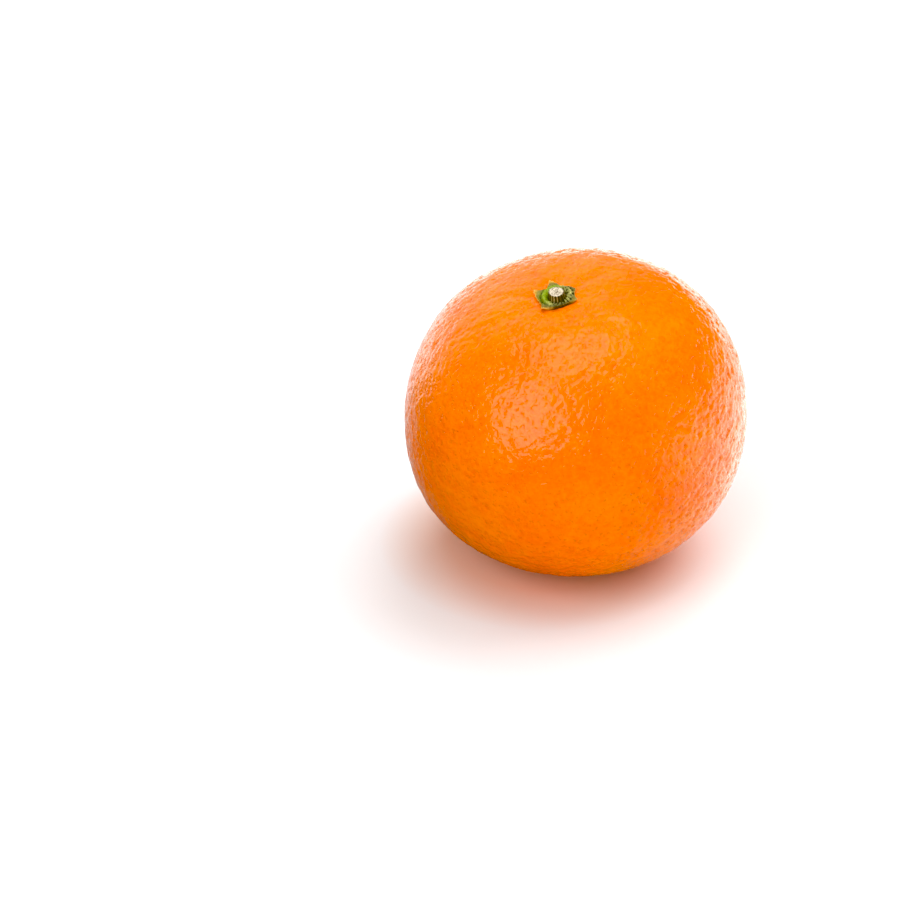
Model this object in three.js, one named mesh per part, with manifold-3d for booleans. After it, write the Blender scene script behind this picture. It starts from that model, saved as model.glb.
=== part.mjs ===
// A whole mandarin with its green calyx and the stub of its stem, in millimetres, +Z up.
// The fruit stands on a small flat spot, whose middle is the origin. Its lower half stands upright,
// and its upper half leans, so that the stem end faces forward (-Y) and a little to the left (-X).

import * as THREE from 'three';
import { mergeVertices } from 'three/addons/utils/BufferGeometryUtils.js';
import Module from 'manifold-3d';

const { degToRad, lerp, smoothstep } = THREE.MathUtils;

// Driving dimensions of the fruit
const WAIST_RADIUS = 33;
const TOP_HALF = 29.9;                     // from the middle to the stem end, before the well sinks it
const BOTTOM_HALF = 28.3;                  // from the middle to the blossom end, before it is flattened
const TOP_FULLNESS = 2.2;                  // 2 is an ellipse, and more makes squarer shoulders
const BOTTOM_FULLNESS = 2.25;
const HALVES_BLEND = 0.5;                  // height over the waist, as a share of the radius, of the blend
const STEM_LEAN = degToRad(15.2);
const STEM_HEADING = degToRad(-122.8);     // the way that the stem end leans, seen from above
const OVALNESS = 0.008;                    // how much longer the waist is along its long way, as a share
const OVAL_HEADING = degToRad(52);
const FLAT_SPOT_HEIGHT = 0.3;              // the height of the peel that resting takes away

// Relief of the peel round the stem end
const WELL_DEPTH = 1.0;
const WELL_RADIUS = 6.5;
const FURROW_COUNT = 9;
const FURROW_DEPTH = 0.22;
const FURROW_MIDDLE = 10;                  // distance from the stem at which the furrows are deepest
const FURROW_SPREAD = 5;
const FURROW_WANDER = 0.5;                 // how unevenly the furrows are spaced, in radians

// Slow swellings of the peel: the way each wave runs over the fruit, its phase and its height
const SWELLINGS = [
  { way: new THREE.Vector3(3.1, 1.2, -0.6), phase: 0.4, height: 0.18 },
  { way: new THREE.Vector3(-1.4, 2.9, 1.1), phase: 2.1, height: 0.16 },
  { way: new THREE.Vector3(0.8, -1.7, 3.4), phase: 4.4, height: 0.14 },
  { way: new THREE.Vector3(4.2, -3.3, 1.9), phase: 1.3, height: 0.08 },
];

// Driving dimensions of the calyx and the stem stub
const GAP = 0.3;                           // between pieces that touch
const COLLAR_FOOT = 1.9;                   // the radius at which the collar rises from the calyx's floor
const COLLAR_CREST = 2.65;
const COLLAR_RADIUS = 3.2;                 // the rounded body of the calyx, without its lobes
const FLOOR_THICKNESS = 0.5;
const CREST_THICKNESS = 1.0;
const LOBE_THICKNESS = 0.62;
const NOTCH_RADIUS = 3.4;                  // where the outline turns in between two lobes
const LOBE_TAPER = 1.15;                   // 1 has straight edges, and more draws the tip out

// The pointed lobes: the bearing and reach of each tip, and how wide its foot is on either side
const LOBES = [
  { bearing: degToRad(-10), reach: 4.5, before: degToRad(40), after: degToRad(26) },
  { bearing: degToRad(35), reach: 4.4, before: degToRad(22), after: degToRad(34) },
  { bearing: degToRad(100), reach: 4.8, before: degToRad(28), after: degToRad(24) },
  { bearing: degToRad(155), reach: 4.8, before: degToRad(20), after: degToRad(46) },
  { bearing: degToRad(225), reach: 4.4, before: degToRad(20), after: degToRad(52) },
];

const STUB_FOOT_RADIUS = 1.65;
const STUB_CUT_RADIUS = 1.45;
const STUB_CUT_HEIGHT = 2.35;              // the cut face over the peel
const STUB_BEVEL = 0.12;
const STUB_MIDDLE_TAPER = 0.6;             // the share of the taper reached half way up
const STUB_RIB_COUNT = 11;
const STUB_RIB_DEPTH = 0.12;

// How finely the surfaces are divided
const FRUIT_SEGMENTS = 72;
const FRUIT_RINGS = 44;
const CALYX_SEGMENTS = 72;
const CALYX_COLLAR_STEPS = 7;
const CALYX_LOBE_STEPS = 3;
const STUB_SEGMENTS = 44;
const WELD_DISTANCE = 1e-4;                // corners closer than this are one corner
const LAYING_STEPS = 12;                   // rounds of the search for the peel's height

// Colours and roughness of the three finishes
const PEEL = { color: 0xff7e0a, roughness: 0.4 };
const GREEN_SEPAL = { color: 0x9aa83a, roughness: 0.6 };
const DRY_STALK = { color: 0x7d6c3c, roughness: 0.8 };

const UP = new THREE.Vector3(0, 0, 1);
const stemAxis = new THREE.Vector3(
  Math.sin(STEM_LEAN) * Math.cos(STEM_HEADING),
  Math.sin(STEM_LEAN) * Math.sin(STEM_HEADING),
  Math.cos(STEM_LEAN),
);
const stemTurn = new THREE.Quaternion().setFromUnitVectors(UP, stemAxis);
const stemTurnBack = stemTurn.clone().invert();
const stemPeelRadius = peelRadius(stemAxis);
const fruitMiddle = new THREE.Vector3(0, 0, BOTTOM_HALF - FLAT_SPOT_HEIGHT);

const wasm = await Module();
wasm.setup();

// A closed geometry whose shared corners are one vertex each, without the slivers at an axis.
function weld(geometry) {
  geometry.deleteAttribute('normal');
  geometry.deleteAttribute('uv');
  const merged = mergeVertices(geometry, WELD_DISTANCE);
  const corners = [];
  for (let first = 0; first < merged.index.count; first += 3) {
    const [a, b, c] = [0, 1, 2].map((step) => merged.index.getX(first + step));
    if (a !== b && b !== c && c !== a) {
      corners.push(a, b, c);
    }
  }
  merged.setIndex(corners);
  return merged;
}

// A welded geometry as a solid that can be cut.
function toSolid(geometry) {
  const merged = weld(geometry);
  return new wasm.Manifold(new wasm.Mesh({
    numProp: 3,
    vertProperties: merged.attributes.position.array,
    triVerts: Uint32Array.from(merged.index.array),
  }));
}

// A cut solid as a geometry again.
function toGeometry(solid) {
  const { vertProperties, triVerts } = solid.getMesh();
  const geometry = new THREE.BufferGeometry();
  geometry.setAttribute('position', new THREE.BufferAttribute(vertProperties, 3));
  geometry.setIndex(new THREE.BufferAttribute(triVerts, 1));
  return geometry;
}

// Moves every vertex of a geometry to where the rule puts it.
function mould(geometry, rule) {
  const positions = geometry.attributes.position;
  const point = new THREE.Vector3();
  for (let index = 0; index < positions.count; index += 1) {
    point.fromBufferAttribute(positions, index);
    const moved = rule(point);
    positions.setXYZ(index, moved.x, moved.y, moved.z);
  }
  return geometry;
}

// The distance from the middle to a superellipsoid round an axis, in a direction of unit length.
function superellipsoid(direction, axis, half, fullness) {
  const along = Math.abs(direction.dot(axis));
  const across = Math.sqrt(Math.max(0, 1 - along ** 2));
  return ((across / WAIST_RADIUS) ** fullness + (along / half) ** fullness) ** (-1 / fullness);
}

// The peel's relief round the stem: a shallow well, and faint furrows that run out from it.
function stemRelief(direction) {
  const local = direction.clone().applyQuaternion(stemTurnBack);
  const distance = WAIST_RADIUS * Math.acos(Math.min(1, local.z));
  const bearing = Math.atan2(local.y, local.x);
  const well = WELL_DEPTH * Math.exp(-((distance / WELL_RADIUS) ** 2));
  const band = Math.exp(-(((distance - FURROW_MIDDLE) / FURROW_SPREAD) ** 2));
  const wave = Math.cos(FURROW_COUNT * bearing + FURROW_WANDER * Math.sin(2 * bearing));
  const furrows = FURROW_DEPTH * band * (0.5 + 0.5 * wave) ** 2;
  return -well - furrows;
}

// The distance from the fruit's middle to its peel, in a direction of unit length.
function peelRadius(direction) {
  const top = superellipsoid(direction, stemAxis, TOP_HALF, TOP_FULLNESS);
  const bottom = superellipsoid(direction, UP, BOTTOM_HALF, BOTTOM_FULLNESS);
  const share = smoothstep(direction.z, -HALVES_BLEND, HALVES_BLEND);
  const heading = Math.atan2(direction.y, direction.x) - OVAL_HEADING;
  const oval = 1 + OVALNESS * Math.cos(2 * heading) * (1 - direction.z ** 2);
  const swelling = SWELLINGS
    .map(({ way, phase, height }) => height * Math.sin(way.dot(direction) + phase))
    .reduce((sum, height) => sum + height, 0);
  return lerp(bottom, top, share) * oval + swelling + stemRelief(direction);
}

// The peel's height at a place beside the stem, over the peel at the stem itself.
function peelHeight(x, y) {
  const direction = new THREE.Vector3();
  let along = stemPeelRadius;
  for (let step = 0; step < LAYING_STEPS; step += 1) {
    direction.set(x, y, along).normalize().applyQuaternion(stemTurn);
    along = Math.sqrt(peelRadius(direction) ** 2 - x ** 2 - y ** 2);
  }
  return along - stemPeelRadius;
}

// The fruit: a sphere whose rings lie round the stem, drawn out to the peel and cut flat below.
function fruitGeometry() {
  const sphere = new THREE.SphereGeometry(1, FRUIT_SEGMENTS, FRUIT_RINGS)
    .rotateX(Math.PI / 2)
    .applyQuaternion(stemTurn);
  mould(sphere, (point) => {
    const direction = point.clone().normalize();
    return direction.multiplyScalar(peelRadius(direction));
  });
  const ground = new THREE.BoxGeometry(4 * WAIST_RADIUS, 4 * WAIST_RADIUS, WAIST_RADIUS)
    .translate(0, 0, -fruitMiddle.z - WAIST_RADIUS / 2);
  return toGeometry(toSolid(sphere).subtract(toSolid(ground)));
}

// How far the calyx reaches out on a bearing: the notch radius, and past it the nearest lobe.
function calyxReach(bearing) {
  const reaches = LOBES.map((lobe) => {
    const turn = bearing - lobe.bearing;
    const offset = Math.atan2(Math.sin(turn), Math.cos(turn));
    const width = offset < 0 ? lobe.before : lobe.after;
    const share = Math.max(0, 1 - Math.abs(offset) / width);
    return NOTCH_RADIUS + (lobe.reach - NOTCH_RADIUS) * share ** LOBE_TAPER;
  });
  return Math.max(...reaches);
}

// How thick the calyx is at a distance from its middle: a floor, a rounded collar and thin lobes.
function calyxThickness(distance) {
  const rise = smoothstep(distance, COLLAR_FOOT, COLLAR_CREST);
  const fall = smoothstep(distance, COLLAR_CREST, COLLAR_RADIUS + GAP);
  return lerp(lerp(FLOOR_THICKNESS, CREST_THICKNESS, rise), LOBE_THICKNESS, fall);
}

// The calyx: a flat lathe disc, drawn out to the lobes and laid on the peel. The disc's radius is 1
// at the collar's edge and 2 at the tips, and its height is 0 below and 1 above.
function calyxGeometry() {
  const steps = [];
  for (let step = 0; step <= CALYX_COLLAR_STEPS; step += 1) {
    steps.push(step / CALYX_COLLAR_STEPS);
  }
  for (let step = 1; step <= CALYX_LOBE_STEPS; step += 1) {
    steps.push(1 + step / CALYX_LOBE_STEPS);
  }
  const below = steps.map((radius) => new THREE.Vector2(radius, 0));
  const above = steps.map((radius) => new THREE.Vector2(radius, 1)).reverse();
  const disc = new THREE.LatheGeometry([...below, ...above], CALYX_SEGMENTS).rotateX(Math.PI / 2);
  mould(disc, (point) => {
    const radius = Math.hypot(point.x, point.y);
    const bearing = Math.atan2(point.y, point.x);
    const lobe = Math.max(0, radius - 1) * (calyxReach(bearing) - COLLAR_RADIUS);
    const distance = Math.min(1, radius) * COLLAR_RADIUS + lobe;
    const x = distance * Math.cos(bearing);
    const y = distance * Math.sin(bearing);
    return new THREE.Vector3(x, y, peelHeight(x, y) + GAP + point.z * calyxThickness(distance));
  });
  return weld(disc);
}

// The stem stub: a short turned stalk with a bevelled cut face and ribs down its side.
function stubGeometry() {
  const foot = 2 * GAP + FLOOR_THICKNESS;
  const height = STUB_CUT_HEIGHT - foot;
  const profile = [
    new THREE.Vector2(0, 0),
    new THREE.Vector2(STUB_FOOT_RADIUS, 0),
    new THREE.Vector2(lerp(STUB_FOOT_RADIUS, STUB_CUT_RADIUS, STUB_MIDDLE_TAPER), height / 2),
    new THREE.Vector2(STUB_CUT_RADIUS, height - STUB_BEVEL),
    new THREE.Vector2(STUB_CUT_RADIUS - STUB_BEVEL, height),
    new THREE.Vector2(0, height),
  ];
  const stalk = new THREE.LatheGeometry(profile, STUB_SEGMENTS).rotateX(Math.PI / 2);
  mould(stalk, (point) => {
    const rib = Math.cos(STUB_RIB_COUNT * Math.atan2(point.y, point.x));
    const share = 1 + (STUB_RIB_DEPTH / STUB_FOOT_RADIUS) * (0.5 * rib - 0.5);
    return new THREE.Vector3(point.x * share, point.y * share, point.z + foot);
  });
  return weld(stalk);
}

// A named piece with its own finish.
function piece(name, geometry, finish) {
  geometry.computeVertexNormals();
  const material = new THREE.MeshStandardMaterial({ ...finish, metalness: 0 });
  const mesh = new THREE.Mesh(geometry, material);
  mesh.name = name;
  return mesh;
}

const fruit = piece('fruit', fruitGeometry(), PEEL);
const calyx = piece('calyx', calyxGeometry(), GREEN_SEPAL);
const stemStub = piece('stem_stub', stubGeometry(), DRY_STALK);

// The stem end: +Z runs out along the stem, from the peel at its middle.
const stemEnd = new THREE.Group();
stemEnd.quaternion.copy(stemTurn);
stemEnd.position.copy(stemAxis).multiplyScalar(stemPeelRadius);
stemEnd.add(calyx, stemStub);

const grown = new THREE.Group();
grown.position.copy(fruitMiddle);
grown.add(fruit, stemEnd);

const mandarin = new THREE.Group();
mandarin.name = 'mandarin';
mandarin.add(grown);

export default mandarin;
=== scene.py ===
"""A whole mandarin with its green calyx and cut stem, on a white table under soft studio light.

Lengths are in metres. The origin is the middle of the flat spot that the fruit rests on, and +Z is up.
"""

import math
from collections import namedtuple

import bpy
import numpy as np
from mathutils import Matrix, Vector


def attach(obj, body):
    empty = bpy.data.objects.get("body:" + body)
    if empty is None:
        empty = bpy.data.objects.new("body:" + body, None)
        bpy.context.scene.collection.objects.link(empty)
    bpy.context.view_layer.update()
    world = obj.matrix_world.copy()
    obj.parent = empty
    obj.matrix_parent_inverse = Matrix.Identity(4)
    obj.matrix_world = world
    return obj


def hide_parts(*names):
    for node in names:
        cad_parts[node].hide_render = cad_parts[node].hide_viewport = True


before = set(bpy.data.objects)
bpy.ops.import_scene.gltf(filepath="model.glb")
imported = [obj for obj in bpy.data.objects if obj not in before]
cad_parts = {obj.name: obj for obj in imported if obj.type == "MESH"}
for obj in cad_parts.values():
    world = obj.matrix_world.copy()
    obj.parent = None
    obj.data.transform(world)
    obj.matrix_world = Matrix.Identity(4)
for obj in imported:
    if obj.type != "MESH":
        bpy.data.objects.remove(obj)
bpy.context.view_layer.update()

MM = 0.001
DEGREE = math.pi / 180

# What the tables below hold. Waves run round the stem, and a wandering one's phase follows others
Wave = namedtuple("Wave", "height count phase")
WanderingWave = namedtuple("WanderingWave", "height count wander added")
LumpWave = namedtuple("LumpWave", "size wander wander_size phase")
Swelling = namedtuple("Swelling", "way phase height")
Ripple = namedtuple("Ripple", "wavelength height")
Lobe = namedtuple("Lobe", "tip length before after")
Clouds = namedtuple("Clouds", "scale fine_share")
Pitting = namedtuple("Pitting", "scale reach warp grain")
Tint = namedtuple("Tint", "start full strength color")
SoftBox = namedtuple("SoftBox", "name heading elevation distance width height brightness")

# The curve by which a screen shows light: a power, with a straight piece near black
SCREEN_POWER = 2.4
SCREEN_OFFSET = 0.055
SCREEN_STRAIGHT_END = 0.04045
SCREEN_STRAIGHT_SLOPE = 12.92
SCREEN_WHITE = 255


def paint(red, green, blue):
    """A colour given as it shows on a screen, from 0 to 255, as the light that a shader works with.

    Each share is raised to the screen's power, or divided by its slope in the straight piece.
    """
    shares = np.array((red, green, blue)) / SCREEN_WHITE
    curved = ((shares + SCREEN_OFFSET) / (1 + SCREEN_OFFSET)) ** SCREEN_POWER
    light = np.where(shares > SCREEN_STRAIGHT_END, curved, shares / SCREEN_STRAIGHT_SLOPE)
    return (*light.tolist(), 1)


def gray(level):
    """A gray with the same light in red, green and blue."""
    return (level, level, level, 1)


# The fruit's form, with the same driving sizes as its solid
WAIST_RADIUS = 33 * MM
TOP_HALF = 29.9 * MM
BOTTOM_HALF = 28.3 * MM
TOP_FULLNESS = 2.2
BOTTOM_FULLNESS = 2.25
HALVES_BLEND = 0.5
STEM_LEAN = 15.2 * DEGREE
STEM_HEADING = -122.8 * DEGREE
OVALNESS = 0.008
OVAL_HEADING = 52 * DEGREE
FLAT_SPOT_HEIGHT = 0.3 * MM
WELL_DEPTH = 1.0 * MM
WELL_RADIUS = 6.5 * MM
FURROW_COUNT = 9
FURROW_DEPTH = 0.22 * MM
FURROW_MIDDLE = 10 * MM
FURROW_SPREAD = 5 * MM
FURROW_WANDER = (Wave(0.5, 2, 0),)
SWELLINGS = (
    Swelling((3.1, 1.2, -0.6), 0.4, 0.18 * MM),
    Swelling((-1.4, 2.9, 1.1), 2.1, 0.16 * MM),
    Swelling((0.8, -1.7, 3.4), 4.4, 0.14 * MM),
    Swelling((4.2, -3.3, 1.9), 1.3, 0.08 * MM),
)
PEEL_SEARCH_STEPS = 12

# The peel's relief: the ways are directions from the fruit's middle
PEEL_CELLS = 127
SAME_POINT_DIGITS = 1e6
PEEL_LIFT = 0.03 * MM
SHOULDER_WAY = (-0.66, 0.38, 0.65)
SHOULDER_SPREAD = 0.38
SHOULDER_RISE = 0.75 * MM
COARSE_WAY = (0.9, -0.3, -0.3)
COARSE_SPAN = (0.1, 0.9)
COARSE_GAIN = 0.55
GLAND_COUNT = 10200
GLAND_JITTER = 0.2
GLAND_RADIUS = (0.55 * MM, 0.95 * MM)
GLAND_DEPTH = (0.02 * MM, 0.19 * MM)
GLAND_BANDS = 80
RIPPLES = (
    Ripple(2.4 * MM, 0.034 * MM),
    Ripple(4.4 * MM, 0.050 * MM),
    Ripple(11.0 * MM, 0.060 * MM),
)
RIPPLE_WAVES = 90
WRINKLES = WanderingWave(1, 26, (Wave(3, 3, 0), Wave(2, 5, 0)), ())
WRINKLE_DEPTH = 0.07 * MM
WRINKLE_MIDDLE = 6.2 * MM
WRINKLE_SPREAD = 2.2 * MM
SCAR_RADIUS = 1.3 * MM
SCAR_DEPTH = 0.55 * MM
SEED = 11

# The calyx: heights are over the peel, and radii and reaches are from the stem's middle
CALYX_AROUND = 360
CALYX_TOP_RINGS = 72
CALYX_UNDER_RINGS = 14
COLLAR_FOOT = 1.6 * MM
COLLAR_FULL = 2.2 * MM
COLLAR_CREST = 2.6 * MM
COLLAR_BRINK = COLLAR_CREST + 0.15 * MM
COLLAR_RADIUS = 3.2 * MM
LOBE_START = COLLAR_RADIUS + 0.35 * MM
LOBE_COLOR_START = COLLAR_RADIUS + 0.5 * MM
TIP_START = 4.6 * MM
UNDERSIDE_END = 5 * MM
NOTCH_RADIUS = 3.4 * MM
LOBE_TAPER = 2.0
FLOOR_HEIGHT = 0.6 * MM
CREST_HEIGHT = 1.25 * MM
GROOVE_HEIGHT = 0.5 * MM
LOBE_HEIGHT = 0.72 * MM
TIP_HEIGHT = 0.62 * MM
EDGE_THICKNESS = 0.2 * MM
EDGE_REST = 0.3 * EDGE_THICKNESS
EDGE_FULLNESS = 6
EDGE_SHARE = 0.45
CALYX_SUNK = 0.12 * MM
LOBES = (
    Lobe(-20 * DEGREE, 4.5 * MM, 44 * DEGREE, 26 * DEGREE),
    Lobe(32 * DEGREE, 4.1 * MM, 24 * DEGREE, 38 * DEGREE),
    Lobe(103 * DEGREE, 5.25 * MM, 32 * DEGREE, 26 * DEGREE),
    Lobe(147 * DEGREE, 5.1 * MM, 22 * DEGREE, 54 * DEGREE),
    Lobe(219 * DEGREE, 4.4 * MM, 24 * DEGREE, 56 * DEGREE),
)
LOBE_WAVES = (Wave(0.06 * MM, 17, 0),)
RAGGED_EDGE = WanderingWave(0.02, 31, (Wave(2, 7, 0),), (Wave(0.012, 53, 0),))
COLLAR_FOLDS = WanderingWave(0.5, 13, (Wave(1.5, 2, 0),), (Wave(0.5, 29, 1.1),))
FOLD_HEIGHT_SHARE = 0.05
NARROW_SIDE = -72 * DEGREE
NARROW_SHARE = 0.3
NARROW_POWER = 3
FRONT_CREST_SHARE = 0.55
TORN_SIDE = -30 * DEGREE
TORN_SPAN = (-0.75, 0.2)
TORN_CREST_SHARE = 0.8
LUMP_SIZE = 0.29 * MM
LUMP_HEIGHT = 0.25 * MM
LUMPS_ELSEWHERE = 0.15
LUMPS_ACROSS = LumpWave(LUMP_SIZE, 2.1, 1.9 * LUMP_SIZE, 1)
LUMPS_ALONG = LumpWave(0.8 * LUMP_SIZE, 2.4, 1.3 * LUMP_SIZE, 2)
SHRED_COUNT = 19
SHRED_SIZE = 0.7 * LUMP_SIZE
SHRED_SHARE = 0.4
# The moat, the groove and the torn hollows set where the crevices get painted shade
MOAT_SPREAD = 0.4 * MM
GROOVE_SPREAD = 0.22 * MM
GROOVE_DARKNESS = 0.75
GROOVE_FOLD_DARKNESS = 0.3
HOLLOW_GAIN = 2.4
HOLLOW_START = 0.2
EDGE_COLOR_SPAN = (0.82, 1.0)

# The stem stub
STUB_AROUND = 240
STUB_CUT_RADIUS = 1.4 * MM
STUB_FOOT_HEIGHT = 0.45 * MM
STUB_CUT_HEIGHT = 2.04 * MM
CUT_HOLLOW = 0.1 * MM
# The profile's radius and height, from the middle of the cut over its rim to the middle of the foot
STUB_PROFILE = (
    (0.02 * MM, STUB_CUT_HEIGHT - CUT_HOLLOW),
    (0.5 * MM, STUB_CUT_HEIGHT - 0.07 * MM),
    (1.1 * MM, STUB_CUT_HEIGHT - 0.02 * MM),
    (1.34 * MM, STUB_CUT_HEIGHT),
    (STUB_CUT_RADIUS, STUB_CUT_HEIGHT - 0.08 * MM),
    (1.47 * MM, 1.85 * MM),
    (1.5 * MM, 1.5 * MM),
    (1.56 * MM, 1.1 * MM),
    (1.66 * MM, 0.78 * MM),
    (1.86 * MM, 0.62 * MM),
    (1.6 * MM, STUB_FOOT_HEIGHT),
    (0.05 * MM, STUB_FOOT_HEIGHT),
)
STUB_RINGS_A_SECTION = 6
CUT_TILT_RIGHT = -0.08
CUT_TILT_BACK = 0.03
CUT_TILT_START = 1.2 * MM
CUT_LAST_RINGS = (21, 17)
CUT_EDGE = (1.38 * MM, 1.44 * MM)
CUT_ROUGHNESS = (Wave(0.02 * MM, 9, 1.7),)
CUT_ROUGHNESS_SIZE = 0.22 * MM
STUB_BESIDE = -0.13 * MM
STUB_RIBS = 17
RIB_WANDER = (Wave(0.9, 2, 0), Wave(0.5, 3, 0))
RIB_ROUNDNESS = 0.7
RIB_LEVEL = 0.8
RIB_UNEVENNESS = (Wave(0.2, 3, 1),)
RIB_THREADS = (Wave(0.15, 37, 0),)
RIB_DEPTH = 0.13 * MM
RIB_INNER_RADIUS = 0.9 * MM
RIB_START_HEIGHTS = (0.4 * MM, 0.8 * MM)

# The Mix node's sockets by number, because its numbers and its colours share their names
MIX_SHARE = 0
MIX_NUMBERS = (2, 3)
MIX_NUMBER_RESULT = 0
MIX_COLORS = (6, 7)
MIX_COLOR_RESULT = 2

# The patterns that the finishes share
FINE_CLOUDS_SCALE = 6.0
CLOUDS_SPAN = (0.34, 0.66)
BROAD_NOISE = {"Detail": 3.0, "Roughness": 0.5}
FINE_NOISE = {"Detail": 2.0, "Roughness": 0.6}
WARP_NOISE = {"Scale": 1.3, "Detail": 1.0}
GRAIN_NOISE = {"Scale": 2.6, "Detail": 2.0}
NOISE_MIDDLE = 0.5

# The peel's finish. A tint tells where its mask starts and is full, its strength and its colour
PEEL_ORANGES = (paint(255, 109, 0), paint(255, 124, 0))
PEEL_CLOUDS = Clouds(60.0, 0.3)
FLECKS = Clouds(230.0, 0.6)
DEEP_FLECKS = Tint(0.5, 0.0, 0.4, paint(242, 92, 0))
LIGHT_FLECKS = Tint(0.55, 1.0, 0.35, paint(255, 136, 8))
PATCHES = Clouds(28.0, 0.1)
OCHRE_PATCHES = Tint(0.7, 1.0, 0.4, paint(232, 128, 0))
DEEP_GLANDS = Tint(0.2, 1.0, 0.3, paint(240, 90, 0))
PORES = Pitting(860.0, 0.42, 1.3, 0.15)
PORE_DEPTH = (0.08 * MM, 0.1 * MM)
PORE_COLOR_SPAN = (0.3, 1.0)
PORE_DARKNESS = (0.45, 0.75)
PORE_BROWN = paint(212, 90, 0)
CREASES = Pitting(560.0, 0.6, 2.6, 0.35)
CREASE_DEPTH = 0.055 * MM
GRAIN = Pitting(1500.0, 0.45, 1.2, 0.4)
GRAIN_DEPTH = (0.010 * MM, 0.03 * MM)
SPECKS = Clouds(420.0, 0.6)
BROWN_SPECKS = Tint(0.92, 1.0, 0.4, paint(190, 76, 6))
BROWN_SCAR = Tint(0.25, 0.8, 1.0, paint(120, 84, 40))
PEEL_ROUGHNESS = (0.13, 0.3)
PEEL_GLOW_THROUGH = 0.05
PEEL_GLOW_REACH = (1.0, 0.35, 0.08)
PEEL_GLOW_SCALE = 0.8 * MM
WAX_REFRACTION = 1.42

# The calyx's finish
CALYX_PITS = Pitting(3.4, 0.4, 1.0, 1.0)
CALYX_PIT_DEPTH = 0.05 * MM
CALYX_CLOUDS = Clouds(0.9, 0.5)
FRESH_GREENS = (paint(112, 148, 12), paint(156, 172, 34))
TORN_GREENS = (paint(84, 88, 12), paint(226, 218, 130))
LOBE_OLIVES = (paint(70, 62, 12), paint(172, 150, 62))
# Painted shade: the collar is dulled on the side towards the front
FRONT_PAINTED_SHADE = Tint(0.7, 1.0, 0.6, paint(84, 80, 40))
ORANGE_TIPS = Tint(0.4, 0.95, 1.0, paint(236, 160, 50))
# The lobe edges: their own pale colour behind, and dark painted shade in front
EDGE_PALE_AND_FRONT_SHADE = (paint(250, 214, 104), paint(64, 50, 12))
EDGE_FRONT_SPAN = (0.45, 0.8)
EDGE_SPAN = (0.2, 1.0)
EDGE_STRENGTH = 0.8
DARK_PITS = Tint(0.3, 1.0, 0.7, paint(56, 50, 10))
# The dark brown of the painted shade in the crevices
CREVICE_PAINTED_SHADE = paint(34, 26, 4)
CALYX_ROUGHNESS = (0.4, 0.6)

# The stub's finish
BARK_PITS = Pitting(4.0, 0.4, 0.8, 1.0)
BARK_PIT_DEPTH = 0.03 * MM
BARK_CLOUDS = Clouds(1.2, 0.5)
BARK_BROWNS = (paint(44, 32, 2), paint(206, 170, 104))
RIDGE_SPAN = (0.45, 1.0)
RIDGE_PATCHES = (0.15, 0.6, 0.15, 1.0)
OLIVE_BARK = Tint(0.6, 1.0, 0.5, paint(104, 96, 34))
# Painted shade that darkens the bark towards its foot
FOOT_PAINTED_SHADE = Tint(1.15, 0.7, 0.85, paint(30, 22, 2))
CUT_CREAMS = (paint(222, 206, 188), paint(228, 216, 180))
FIBRE_NOISE = {"Scale": 1.5, "Detail": 1.0, "Roughness": 0.6, "Distortion": 1.6}
BROWN_FIBRES = Tint(0.055, 0.015, 1.0, paint(92, 70, 48))
BARK_ROUGHNESS = (0.6, 0.8)

# The table. A slant is the share of X and of Y in a line across it
TABLE_HALF = 3.0
TABLE_WHITE = gray(0.9)
# The warm colour of painted light bounced from the fruit onto the table close to it
TABLE_PAINTED_BOUNCE = (0.93, 0.64, 0.52, 1)
# The dark of the painted shade in reflections and in the light thrown on the fruit
TABLE_PAINTED_SHADE = gray(0.05)
TABLE_ROUGHNESS = 0.9
# Where the painted bounce light is centred and how far it reaches
PAINTED_BOUNCE_MIDDLE = (-6 * MM, 0, 0)
PAINTED_BOUNCE_SPAN = (18 * MM, 32 * MM)
# Painted shade: in reflections the table is dark in front and on the left, and to diffuse rays darker on
# the left
REFLECTED_SHADE_SLANT = (0.62, 0.78)
REFLECTED_SHADE_SPAN = (25 * MM, -35 * MM)
SHADED_SPAN = (0.0, -50 * MM)
SHADED_DARKNESS = 0.65
# Painted light: the table glows away from the fruit, more in reflections, and on the right only in
# reflections as a painted reflection
GLOW_SPAN = (50 * MM, 350 * MM)
GLOW_SEEN = 0.8
GLOW_REFLECTED = 1.6
RIGHT_GLOW = 1.4
RIGHT_GLOW_START = (10 * MM, 50 * MM)
RIGHT_GLOW_END = (300 * MM, 120 * MM)
RIGHT_GLOW_FRONT = (-30 * MM, 20 * MM)
RIGHT_GLOW_BACK = (120 * MM, 50 * MM)

# The surroundings, by the way that is looked in
WALL_BACK_SPAN = (0.2, 0.8)
WALL_LEFT_SPAN = (0.45, -0.35)
PANEL_RIGHT_SPAN = (0.5, 0.95)
PANEL_LOW_SPAN = (0.4, 0.1)
PANEL_BRIGHTNESS = 0.6
MIRRORED_LIGHT = (0.03, 1.25)
MATTE_SPAN = (-0.8, 0.8)
MATTE_LIGHT = (0.13, 0.49)
BACKDROP_LIGHT = 1.0

# The soft boxes: headings are from the camera's side, towards the right
FRONT_LEFT_BOX = SoftBox("front_left_box", -36 * DEGREE, 34 * DEGREE, 0.6, 0.42, 0.56, 3.2)
FRONT_LEFT_TURN = 24 * DEGREE
OVERHEAD_BOX = SoftBox("overhead_box", 0, 86.5 * DEGREE, 0.7, 0.5, 0.42, 2.5)
OVERHEAD_SHIFT = -50 * MM
REAR_FILL = SoftBox("rear_fill", 138 * DEGREE, 52 * DEGREE, 1.2, 1.4, 1.0, 3.0)

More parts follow.
